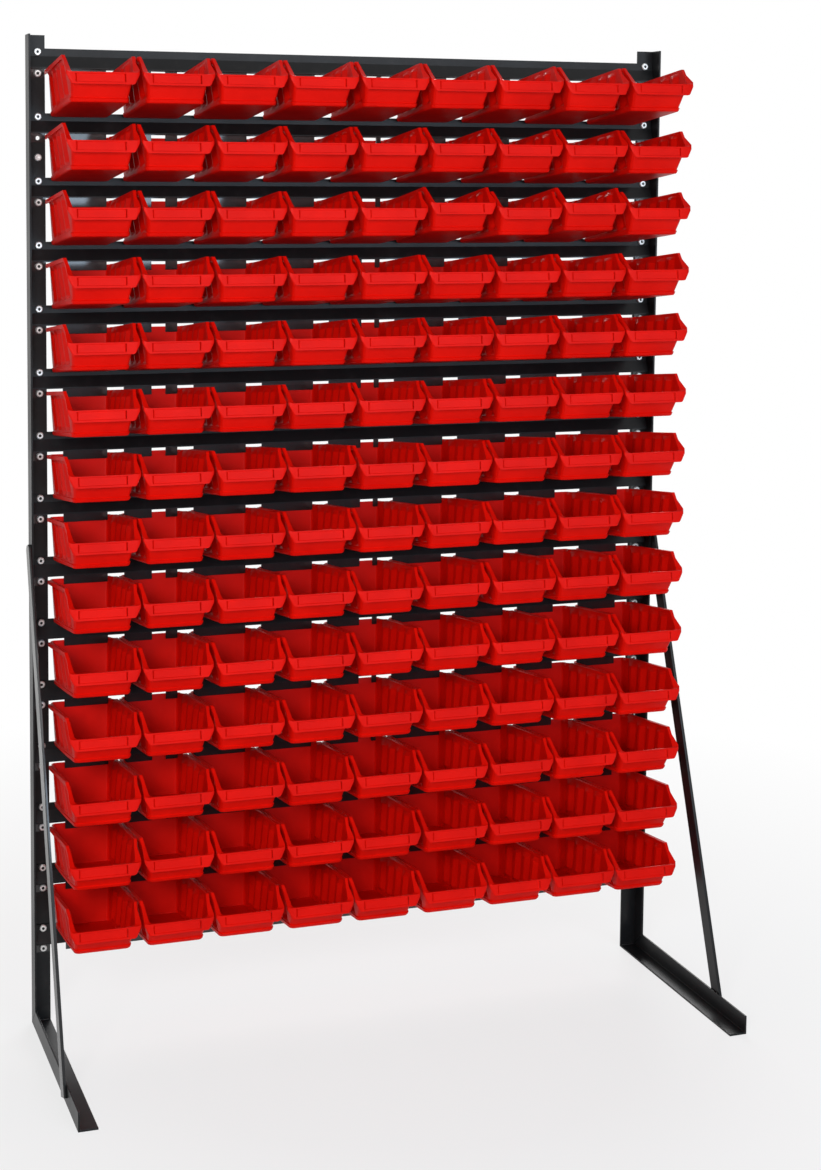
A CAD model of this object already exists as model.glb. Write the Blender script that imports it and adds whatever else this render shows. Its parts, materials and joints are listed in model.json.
import json
import math
import random
import bmesh
import bpy
from mathutils import Matrix, Vector

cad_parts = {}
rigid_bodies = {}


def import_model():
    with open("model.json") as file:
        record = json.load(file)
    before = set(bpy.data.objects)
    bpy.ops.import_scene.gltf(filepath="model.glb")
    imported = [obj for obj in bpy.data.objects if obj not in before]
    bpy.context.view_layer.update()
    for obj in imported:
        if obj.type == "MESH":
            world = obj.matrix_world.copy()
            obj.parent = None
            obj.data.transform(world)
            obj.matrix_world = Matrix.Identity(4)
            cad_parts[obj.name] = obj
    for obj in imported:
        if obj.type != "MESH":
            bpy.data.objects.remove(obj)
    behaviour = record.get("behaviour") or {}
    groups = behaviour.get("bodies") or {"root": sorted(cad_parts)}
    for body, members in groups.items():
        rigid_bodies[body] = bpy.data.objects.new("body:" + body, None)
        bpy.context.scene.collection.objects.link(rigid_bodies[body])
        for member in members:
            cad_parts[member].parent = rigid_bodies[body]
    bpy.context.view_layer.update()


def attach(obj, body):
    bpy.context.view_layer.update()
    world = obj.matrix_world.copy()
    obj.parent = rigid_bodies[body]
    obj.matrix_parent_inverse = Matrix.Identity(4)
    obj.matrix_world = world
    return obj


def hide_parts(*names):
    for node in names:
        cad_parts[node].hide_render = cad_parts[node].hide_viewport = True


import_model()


# Side frames: uprights and feet of angle iron, mitred and welded at the heel, with a flat bar
# across each outer face. All are sprayed black, and the paint of the left bar is the glossiest.
class Socket:
    """A shader socket that can stand in a Python expression."""

    def __init__(self, tree, out=None):
        self.tree = tree
        self.out = out

    def add(self, kind, settings=None, inputs=None, output=0):
        node = self.tree.nodes.new("ShaderNode" + kind)
        for name, value in (settings or {}).items():
            setattr(node, name, value)
        for name, value in (inputs or {}).items():
            if isinstance(value, Socket):
                self.tree.links.new(value.out, node.inputs[name])
            else:
                node.inputs[name].default_value = value
        return Socket(self.tree, node.outputs[output] if node.outputs else None)

    def math(self, operation, *values):
        return self.add("Math", {"operation": operation}, dict(enumerate(values)))

    def __add__(self, other):
        return self.math("ADD", self, other)

    def __radd__(self, other):
        return self.math("ADD", other, self)

    def __sub__(self, other):
        return self.math("SUBTRACT", self, other)

    def __rsub__(self, other):
        return self.math("SUBTRACT", other, self)

    def __mul__(self, other):
        return self.math("MULTIPLY", self, other)

    def __rmul__(self, other):
        return self.math("MULTIPLY", other, self)

    def __truediv__(self, other):
        return self.math("DIVIDE", self, other)

    def __rtruediv__(self, other):
        return self.math("DIVIDE", other, self)


def start_material(name):
    """An empty material, its socket maker and its object coordinates."""
    material = bpy.data.materials.new(name)
    material.use_nodes = True
    material.node_tree.nodes.clear()
    maker = Socket(material.node_tree)
    return material, maker, maker.add("TexCoord", output="Object")


def noise(place, scale, detail=3.0):
    return place.add("TexNoise", None, {"Vector": place, "Scale": scale, "Detail": detail})


def ramp(value, low, high):
    """A value stretched so that low becomes 0 and high becomes 1."""
    return value.add("MapRange", None, {"Value": value, "From Min": low, "From Max": high})


def mix(factor, first, second):
    return factor.add("Mix", {"data_type": "RGBA"}, {0: factor, 6: first, 7: second}, output=2)


def bump(height, strength, distance):
    return height.add("Bump", None, {"Height": height, "Strength": strength, "Distance": distance})


def finish_material(maker, inputs):
    shader = maker.add("BsdfPrincipled", None, inputs)
    maker.add("OutputMaterial", None, {"Surface": shader})


def make_black_paint(name, gloss=None):
    black = (0.006, 0.0063, 0.0070, 1)
    dusty = (0.020, 0.020, 0.020, 1)
    material, maker, place = start_material(name)
    patches = noise(place, 9.0)
    dust = ramp(noise(place, 55.0, 5.0), 0.52, 0.78) * 0.45
    finish_material(maker, {
        "Base Color": mix(dust, black, dusty),
        "Roughness": 0.30 + 0.16 * patches,
        "Normal": bump(noise(place, 420.0, 2.0), 0.10, 0.0004),
        "Specular IOR Level": 0.22,
        "Coat Weight": gloss(place) if gloss else 0.0,
        "Coat Roughness": 0.10,
        "Coat IOR": 1.5,
    })
    return material


def soften(obj, width):
    """Rounds the sharp edges of a CAD node with live modifiers."""
    weld = obj.modifiers.new("weld", "WELD")
    weld.merge_threshold = 0.00001
    flat = obj.modifiers.new("flat", "DECIMATE")
    flat.decimate_type = "DISSOLVE"
    flat.angle_limit = math.radians(1)
    edge = obj.modifiers.new("edge", "BEVEL")
    edge.width = width
    edge.segments = 2
    edge.limit_method = "ANGLE"
    edge.angle_limit = math.radians(35)


def cover(obj, material):
    obj.data.materials.clear()
    obj.data.materials.append(material)


bar_edge = 0.0006
black_paint = make_black_paint("black_paint")
brace_paint = make_black_paint("brace_paint", lambda place: ramp(noise(place, 6.0), 0.1, 0.6) * 0.5)
for hand in ("left", "right"):
    for kind in ("upright", "foot", "brace"):
        bar = bpy.data.objects[kind + "_" + hand]
        cover(bar, brace_paint if bar.name == "brace_left" else black_paint)
        soften(bar, bar_edge)


# Weld beads: in each heel one rippled bead across the corner and one along the mitre, where upright
# and foot meet, painted over with the frame. Each is a round bar cut into rings.
frame_half = 0.5425
sheet_t = 0.003
heel_y = 0.18725
flange = 0.030
corner_radius = 0.0022
mitre_radius = 0.0016
seam_end = 0.002
seam_lift = 0.001


def pick(kind, test):
    """Selects the vertices, edges or faces of the edited mesh that pass a test of their middle."""
    bpy.ops.mesh.select_mode(type=kind)
    bpy.ops.mesh.select_all(action="DESELECT")
    edited = bpy.context.edit_object.data
    mesh = bmesh.from_edit_mesh(edited)
    groups = {"VERT": mesh.verts, "EDGE": mesh.edges, "FACE": mesh.faces}
    for part in groups[kind]:
        corners = [part] if kind == "VERT" else part.verts
        middle = sum((corner.co for corner in corners), Vector()) / len(corners)
        part.select_set(bool(test(middle, part)))
    mesh.select_flush_mode()
    bmesh.update_edit_mesh(edited)


def model_bead(name, start, end, radius):
    """A bead along a seam: a round bar cut into rings, every second ring drawn in."""
    ring_step = 0.9 * radius
    neck = 0.72
    rings = max(5, round((end - start).length / ring_step))
    bpy.ops.object.select_all(action="DESELECT")
    bpy.ops.mesh.primitive_cylinder_add(vertices=8, radius=radius, depth=1)
    bead = bpy.context.object
    bead.name = name
    bpy.ops.object.mode_set(mode="EDIT")
    for step in range(1, rings):
        bpy.ops.mesh.select_all(action="SELECT")
        bpy.ops.mesh.bisect(plane_co=(0, 0, step / rings - 0.5), plane_no=(0, 0, 1))
    odd = [step / rings - 0.5 for step in range(0, rings + 1, 2)]
    pick("VERT", lambda middle, vert: any(abs(middle.z - place) < 0.2 / rings for place in odd))
    bpy.ops.transform.resize(value=(neck, neck, 1), center_override=(0, 0, 0))
    bpy.ops.object.mode_set(mode="OBJECT")
    bpy.ops.object.shade_smooth()
    along = (end - start).to_track_quat("Z", "Y").to_matrix().to_4x4()
    length = Matrix.Diagonal((1, 1, (end - start).length, 1))
    bead.data.transform(Matrix.Translation((start + end) / 2) @ along @ length)
    cover(bead, black_paint)
    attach(bead, "rack")


for hand, side in (("left", -1), ("right", 1)):
    corner_y = heel_y - sheet_t
    inner = side * (frame_half - sheet_t)
    model_bead("bead_corner_" + hand, Vector((inner, corner_y, sheet_t)),
               Vector((side * (frame_half - flange + seam_end), corner_y, sheet_t)), corner_radius)
    model_bead("bead_mitre_" + hand, Vector((inner, corner_y - seam_lift, sheet_t + seam_lift)),
               Vector((inner, heel_y - flange + seam_end, flange - seam_end)), mitre_radius)


# Rails: fifteen sheet steel strips folded to a ledge, cut into tabs along the lower edge and
# painted like the frames. The CAD shape stays; only its edges are rounded. The bins' backs have
# rubbed the paint of the tabs smooth.
row_pitch = 0.100
sheet_edge = 0.0004


def rubbed(place):
    """1 on the tabs of every rail, 0 elsewhere."""
    top_rail = 1.5625
    tab_start, tab_end = 0.305, 0.460
    fade = 0.01
    height = place.add("SeparateXYZ", None, {0: place}, output="Z")
    rows = (top_rail - height) / row_pitch
    below = rows.math("FRACT", rows)
    return ramp(below, tab_start, tab_start + fade) * ramp(below, tab_end + fade, tab_end)


rail_paint = make_black_paint("rail_paint", rubbed)
for number in range(1, 16):
    rail = bpy.data.objects["rail_%02d" % number]
    cover(rail, rail_paint)
    soften(rail, sheet_edge)


# Screws and nuts: zinc plated steel, M6 pan heads with a hexagon socket, two at each rail end and
# a nut behind each. The CAD shapes stay; the sockets are dark spots in the material.
head_edge = 0.0008


def in_socket(place):
    """1 inside the sockets of the screw heads, 0 elsewhere."""
    screw_x = 0.5245
    screw_z = (1.557, 1.524)
    socket = 0.0023
    fade = 0.0002
    height = place.add("SeparateXYZ", None, {0: place}, output="Z")
    side = place.add("SeparateXYZ", None, {0: place}, output="X")
    across = side.math("ABSOLUTE", side) - screw_x
    above = []
    for level in screw_z:
        rows = (height - level) / row_pitch
        above.append(rows.math("ABSOLUTE", rows.math("WRAP", rows, 0.5, -0.5)) * row_pitch)
    off = above[0].math("MINIMUM", *above)
    reach = across * across + off * off
    return ramp(reach.math("SQRT", reach), socket + fade, socket - fade)


def make_zinc(name, sockets=False):
    bright = (0.78, 0.78, 0.77, 1)
    dull = (0.52, 0.52, 0.51, 1)
    shaded = (0.012, 0.012, 0.012, 1)
    material, maker, place = start_material(name)
    plate = mix(ramp(noise(place, 160.0), 0.35, 0.7), bright, dull)
    finish_material(maker, {
        "Base Color": mix(in_socket(place), plate, shaded) if sockets else plate,
        "Metallic": 0.7,
        "Roughness": 0.28 + 0.2 * noise(place, 90.0),
    })
    return material


for kind in ("screws", "nuts"):
    zinc = make_zinc(kind + "_zinc", sockets=kind == "screws")
    for hand in ("left", "right"):
        group = bpy.data.objects[kind + "_" + hand]
        cover(group, zinc)
        soften(group, head_edge)


# Bins: injection moulded in glossy red polypropylene, thin walled, with ribbed sides, a rim
# turned down on both sides and a label lip in front. Two heels hook each on the rail below.
bin_pitch = 0.115
bin_h = 0.069446
wall = 0.0022
base_len = 0.162
base_half = 0.047
front_base_half = 0.043
rim_wall_half = 0.053
rim_half = 0.056
back_half = 0.050
back_len = 0.014
rim_start = 0.020
peak = 0.160
lip_reach = 0.192
lip_z = -0.029446
lean = 16 / 22
rim_skirt = 0.006
lip_skirt = 0.018
lip_half = 0.055
lip_low_half = 0.049
plane_y = 0.18425
first_back_z = 1.5255
hang_angle = math.radians(6.5)
tipped_angle = math.radians(9)
hang_y = 0.003881
tipped_y = 0.004428


def cut(place, normal, clear=False):
    bpy.ops.mesh.select_all(action="SELECT")
    bpy.ops.mesh.bisect(plane_co=place, plane_no=normal, clear_outer=clear)


def widen(factor):
    bpy.ops.transform.resize(value=(factor, 1, 1), center_override=(0, 0, 0))


def on_lip(middle, face):
    return middle.y < -lip_reach + 0.0004 and abs(face.normal.y) > 0.9


def extrude_edges(move):
    bpy.ops.mesh.extrude_edges_move(TRANSFORM_OT_translate={"value": move})


def model_bin():
    """One bin, its back upper edge on the origin, its front towards -Y."""
    near = 0.0004
    front_wall = 1.2 * wall
    inner_h = bin_h - wall
    inner_len = base_len - wall - front_wall
    inner_base = base_half - wall
    inner_rim = rim_wall_half - wall
    lip_inner = wall + inner_len + lean * (inner_h + lip_z)
    bpy.ops.object.select_all(action="DESELECT")
    bpy.ops.mesh.primitive_cube_add(size=1)
    tub = bpy.context.object
    bpy.ops.object.mode_set(mode="EDIT")
    bpy.ops.transform.resize(value=(2 * inner_base, inner_len, inner_h), center_override=(0, 0, 0))
    bpy.ops.transform.translate(value=(0, -wall - inner_len / 2, -inner_h / 2))
    pick("FACE", lambda middle, face: middle.z > -near)
    bpy.ops.mesh.delete(type="FACE")
    pick("VERT", lambda middle, vert: middle.z > -near)
    widen(inner_rim / inner_base)
    pick("VERT", lambda middle, vert: middle.z > -near and middle.y < -base_len / 2)
    bpy.ops.transform.translate(value=(0, -lean * inner_h, 0))
    pick("VERT", lambda middle, vert: middle.z < near - inner_h and middle.y < -base_len / 2)
    widen((front_base_half - wall) / inner_base)

    crests = (0.038, 0.072, 0.106, 0.140)
    crest_half = 0.0035
    flank = 0.011
    rib_in = 0.0050
    rib_end = 0.006
    rib_foot = 0.009
    rib_low = -bin_h + rib_foot
    rib_high = -0.005
    for reach in (back_len, rim_start):
        cut((0, -reach, 0), (0, 1, 0))
    for crest in crests:
        for step in (-crest_half - flank, -crest_half, crest_half, crest_half + flank):
            cut((0, -crest - step, 0), (0, 1, 0))
    for level in (rib_low, rib_low + rib_end, rib_high - rib_end, rib_high):
        cut((0, 0, level), (0, 0, 1))
    slope = Vector((0, lip_z, lip_inner - peak))
    cut((0, -peak, 0), slope if slope.z > 0 else -slope, clear=True)

    for level in (0, rib_high, rib_high - rib_end):
        half = inner_base + (inner_rim - inner_base) * (1 + level / inner_h)
        pick("VERT", lambda middle, vert: middle.y > -back_len - near and abs(middle.z - level) < near)
        widen((back_half - wall) / half)

    def on_crest(middle):
        beside = any(abs(middle.y + crest) < crest_half + near for crest in crests)
        return beside and rib_low + near < middle.z < rib_high - near

    for side in (-1, 1):
        pick("VERT", lambda middle, vert: middle.x * side > 0 and on_crest(middle))
        bpy.ops.transform.translate(value=(-side * rib_in, 0, 0))

    floor_z = -inner_h
    corner = 0.005
    foot_h = 0.0034
    foot_proud = 0.0017
    foot_edge = 0.0012
    pick("EDGE", lambda middle, edge: middle.z > floor_z + near and edge.calc_face_angle(0) > 0.9)
    bpy.ops.mesh.bevel(offset=corner, segments=3)
    cut((0, 0, floor_z + foot_h), (0, 0, 1))
    pick("FACE", lambda middle, face: middle.z < floor_z + foot_h and abs(face.normal.z) < 0.8
         and middle.y < -2 * wall)
    bpy.ops.mesh.inset(thickness=0.0003, depth=foot_proud)
    pick("EDGE", lambda middle, edge: middle.z < floor_z + near and edge.calc_face_angle(0) > 0.9)
    bpy.ops.mesh.bevel(offset=foot_edge, segments=2)

    lip_zone = 0.006
    lip_face = 0.002
    pick("EDGE", lambda middle, edge: edge.is_boundary and middle.y < -rim_start + near)
    extrude_edges((0, 0, 0))
    widen(rim_half / inner_rim)
    pick("VERT", lambda middle, vert: vert.is_boundary and middle.y < -lip_inner + lip_zone)
    front_half = front_base_half - wall
    lip_wall_half = front_half + (inner_rim - front_half) * (1 + lip_z / inner_h)
    widen(lip_half / lip_wall_half * inner_rim / rim_half)
    bpy.ops.transform.translate(value=(0, lip_inner - lip_reach, 0))
    pick("EDGE", lambda middle, edge: edge.is_boundary and middle.y < -rim_start - near)
    extrude_edges((0, 0, -rim_skirt))
    pick("EDGE", lambda middle, edge: edge.is_boundary and middle.y < -lip_reach + lip_face)
    extrude_edges((0, 0, rim_skirt - lip_skirt))
    widen(lip_low_half / lip_half)

    taper_len = 0.110
    taper = 0.07
    reaches = {round(-vert.co.y, 5) for vert in bmesh.from_edit_mesh(tub.data).verts}
    for reach in sorted(reach for reach in reaches if reach < taper_len):
        pick("VERT", lambda middle, vert: round(-middle.y, 5) == reach
             and middle.z < rib_high + near and abs(middle.x) < inner_rim + wall)
        widen(1 - taper * (1 - reach / taper_len))

    label_left = -0.040
    label_right = 0.0325
    slot_w = 0.0017
    slot_top = lip_z - 0.0020
    slot_low = lip_z - 0.0150
    label_edge = 0.0008
    label_depth = 0.0010
    lip_corner = 0.004
    for edge in (label_left - slot_w, label_left, label_right, label_right + slot_w):
        pick("FACE", on_lip)
        bpy.ops.mesh.bisect(plane_co=(edge, 0, 0), plane_no=(1, 0, 0))
    for edge in (slot_top, slot_low):
        pick("FACE", on_lip)
        bpy.ops.mesh.bisect(plane_co=(0, 0, edge), plane_no=(0, 0, 1))

    def in_slot(middle, face):
        beside = (label_left - slot_w < middle.x < label_left
                  or label_right < middle.x < label_right + slot_w)
        return on_lip(middle, face) and beside and slot_low < middle.z < slot_top

    pick("FACE", in_slot)
    bpy.ops.mesh.delete(type="FACE")
    pick("FACE", lambda middle, face: on_lip(middle, face) and label_left < middle.x < label_right
         and slot_low < middle.z < slot_top)
    bpy.ops.mesh.inset(thickness=label_edge, depth=label_depth)
    pick("VERT", lambda middle, vert: vert.is_boundary and middle.z < lip_z - lip_skirt + near
         and abs(middle.x) > lip_low_half - lip_face)
    bpy.ops.mesh.bevel(affect="VERTICES", offset=lip_corner, segments=3)
    bpy.ops.object.mode_set(mode="OBJECT")
    return tub


def model_heel():
    """One heel: a short arm over the rail's top edge, its end turned down behind the rail."""
    arm = (0.014, 0.0068, 0.0035)
    hook_y = 0.0003
    hook_end = 0.0027
    hook_depth = 0.0028
    clear = 0.0002
    hook_edge = 0.0006
    bpy.ops.object.select_all(action="DESELECT")
    bpy.ops.mesh.primitive_cube_add(size=1)
    heel = bpy.context.object
    bpy.ops.object.mode_set(mode="EDIT")
    bpy.ops.transform.resize(value=arm, center_override=(0, 0, 0))
    bpy.ops.transform.translate(value=(0, hook_end - arm[1] / 2, clear + arm[2] / 2))
    cut((0, hook_y, 0), (0, 1, 0))
    pick("FACE", lambda middle, face: face.normal.z < -0.9 and middle.y > hook_y)
    bpy.ops.mesh.extrude_region_move(TRANSFORM_OT_translate={"value": (0, 0, -hook_depth)})
    pick("EDGE", lambda middle, edge: abs(middle.x) < 0.0001 and middle.y > hook_y + 0.0005)
    bpy.ops.mesh.bevel(offset=hook_edge, segments=2)
    bpy.ops.object.mode_set(mode="OBJECT")
    return heel


def apply_modifier(obj, name):
    bpy.context.view_layer.objects.active = obj
    bpy.ops.object.modifier_apply(modifier=name)


def thicken(obj):
    shell = obj.modifiers.new("shell", "SOLIDIFY")
    shell.thickness = wall
    shell.offset = 1
    shell.use_even_offset = True
    apply_modifier(obj, "shell")


def make_red_plastic():
    deep = (0.62, 0.0034, 0.0008, 1)
    light = (0.74, 0.0050, 0.0012, 1)
    material, maker, place = start_material("red_plastic")
    patches = noise(place, 14.0)
    finish_material(maker, {
        "Base Color": mix(ramp(patches, 0.3, 0.7), deep, light),
        "Roughness": 0.40 + 0.12 * noise(place, 40.0),
        "Normal": bump(noise(place, 260.0, 2.0), 0.02, 0.0004),
        "Specular IOR Level": 0.09,
    })
    return material


red_plastic = make_red_plastic()
pattern = model_bin()
thicken(pattern)
bpy.ops.object.shade_smooth_by_angle(angle=math.radians(20))
heel = model_heel()


def copy_to(source, place):
    """A copy with its own mesh, moved within that mesh."""
    copy = bpy.data.objects.new(source.name, source.data.copy())
    bpy.context.collection.objects.link(copy)
    copy.data.transform(place)
    return copy


def join(objs):
    bpy.ops.object.select_all(action="DESELECT")
    for obj in objs:
        obj.select_set(True)
    bpy.context.view_layer.objects.active = objs[0]
    bpy.ops.object.join()
    return objs[0]


def hung_bin(row, column, chance):
    """A bin on its rails, a little off the even spacing, with its two heels."""
    heel_x = 0.028
    heel_drop = 0.063
    tipped = row == 3 and column in (6, 8)
    angle = tipped_angle if tipped else hang_angle
    middle = (column - 5) * bin_pitch
    back_z = first_back_z - row_pitch * (row - 1)
    back = Matrix.Translation((middle, plane_y + (tipped_y if tipped else hang_y), back_z))
    sway = Matrix.Rotation(math.radians(chance.uniform(-0.25, 0.25)), 4, "Z")
    tilt = Matrix.Rotation(-angle - math.radians(chance.uniform(-0.2, 0.2)), 4, "X")
    parts = [copy_to(pattern, back @ sway @ tilt)]
    for side in (-1, 1):
        place = Matrix.Translation((middle + side * heel_x, plane_y, back_z - heel_drop))
        parts.append(copy_to(heel, place))
    return join(parts)


chance = random.Random(11)
for row in range(1, 15):
    bins = [hung_bin(row, column, chance) for column in range(1, 10)]
    if row in (4, 5):
        names = ["bin_row_%02d_column_%d" % (row, column) for column in range(1, 10)]
    else:
        names = ["bins_row_%02d" % row]
        bins = [join(bins)]
    for obj, name in zip(bins, names):
        obj.name = name + "_moulding"
        cover(obj, red_plastic)
        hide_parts(name)
        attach(obj, name)
bpy.data.objects.remove(pattern)
bpy.data.objects.remove(heel)


# Floor and light: a floor that pales into a white surround. A key panel stands in front on the
# left, a wide panel and a bluish strip below it in front on the right, and one panel behind.
def in_view(maker):
    """1 for what the camera sees, directly, mirrored or through glass, 0 for light alone."""
    paths = [maker.add("LightPath", output="Is %s Ray" % kind)
             for kind in ("Camera", "Glossy", "Transmission")]
    return maker.math("MAXIMUM", maker.math("MAXIMUM", paths[0], paths[1]), paths[2])


def make_floor():
    bpy.ops.object.select_all(action="DESELECT")
    bpy.ops.mesh.primitive_plane_add(size=30)
    floor = bpy.context.object
    floor.name = "floor"
    material, maker, place = start_material("floor_white")
    seen = in_view(maker)
    spread = place.add("VectorMath", {"operation": "LENGTH"}, {0: place}, output="Value")
    far = ramp(spread, 0.4, 1.9)
    diffuse = maker.add("BsdfDiffuse", None, {"Color": (0.72, 0.72, 0.73, 1)})
    white = maker.add("Emission", None, {"Color": (1, 1, 1, 1), "Strength": 1.0})
    blend = maker.add("MixShader", None, {0: seen * (0.70 + 0.30 * far), 1: diffuse, 2: white})
    maker.add("OutputMaterial", None, {"Surface": blend})
    cover(floor, material)


def add_panel(name, place, aim, size, power, colour=(1, 1, 1)):
    """A soft rectangular studio light aimed at a point."""
    data = bpy.data.lights.new(name, "AREA")
    data.shape = "RECTANGLE"
    data.size, data.size_y = size
    data.energy = power
    data.color = colour
    panel = bpy.data.objects.new(name, data)
    bpy.context.collection.objects.link(panel)
    panel.location = place
    panel.rotation_euler = (Vector(aim) - Vector(place)).to_track_quat("-Z", "Y").to_euler()


make_floor()
add_panel("key", (-1.75, -3.0, 1.75), (0.1, 0, 0.8), (1.1, 0.9), 74)
add_panel("upper", (0.9, -3.3, 2.2), (0.2, 0, 1.1), (2.4, 0.8), 20)
add_panel("strip", (1.0, -3.3, 1.27), (0.2, 0, 1.1), (2.4, 0.55), 33, (0.62, 0.80, 1.0))
add_panel("back", (1.3, 3.0, 2.2), (0, 0, 0.8), (1.8, 1.2), 70)

world = bpy.data.worlds.new("surround")
world.use_nodes = True
world.node_tree.nodes.clear()
maker = Socket(world.node_tree)
seen = in_view(maker)
way = maker.add("TexCoord", output="Generated")
behind = maker.add("SeparateXYZ", None, {0: way}, output="Y")
level = 0.16 + 0.16 * ramp(behind, -0.1, 0.5)
strength = level + (1 - level) * seen
sky = maker.add("Background", None, {"Color": (1, 1, 1, 1), "Strength": strength})
maker.add("OutputWorld", None, {"Surface": sky})
bpy.context.scene.world = world


# Camera: at the photograph's viewing angle, fitted to the screw heads, the feet and the bin lips.
# The lens is shifted because the photograph's centre isn't where the camera pointed.
camera_place = Vector((-1.05638, -2.8184, 1.36335))
photo_w, photo_h = 821, 1170
focal_px = 1928.81
centre_px = (299.84, 341.44)
yaw, pitch, roll = math.radians(17.777), math.radians(4.833), math.radians(-0.279)
ahead = Vector((math.sin(yaw) * math.cos(pitch), math.cos(yaw) * math.cos(pitch), -math.sin(pitch)))
right = Vector((math.cos(yaw), -math.sin(yaw), 0))
down = ahead.cross(right)
level_x = math.cos(roll) * right + math.sin(roll) * down
level_y = math.sin(roll) * right - math.cos(roll) * down
lens = bpy.data.cameras.new("photo_camera")
lens.sensor_width = 36
lens.lens = focal_px * lens.sensor_width / photo_h
lens.shift_x = (photo_w / 2 - centre_px[0]) / photo_h
lens.shift_y = (centre_px[1] - photo_h / 2) / photo_h
camera = bpy.data.objects.new("photo_camera", lens)
bpy.context.collection.objects.link(camera)
turn = Matrix((level_x, level_y, -ahead)).transposed()
camera.matrix_world = Matrix.Translation(camera_place) @ turn.to_4x4()
bpy.context.scene.camera = camera
bpy.context.scene.view_settings.view_transform = "Standard"
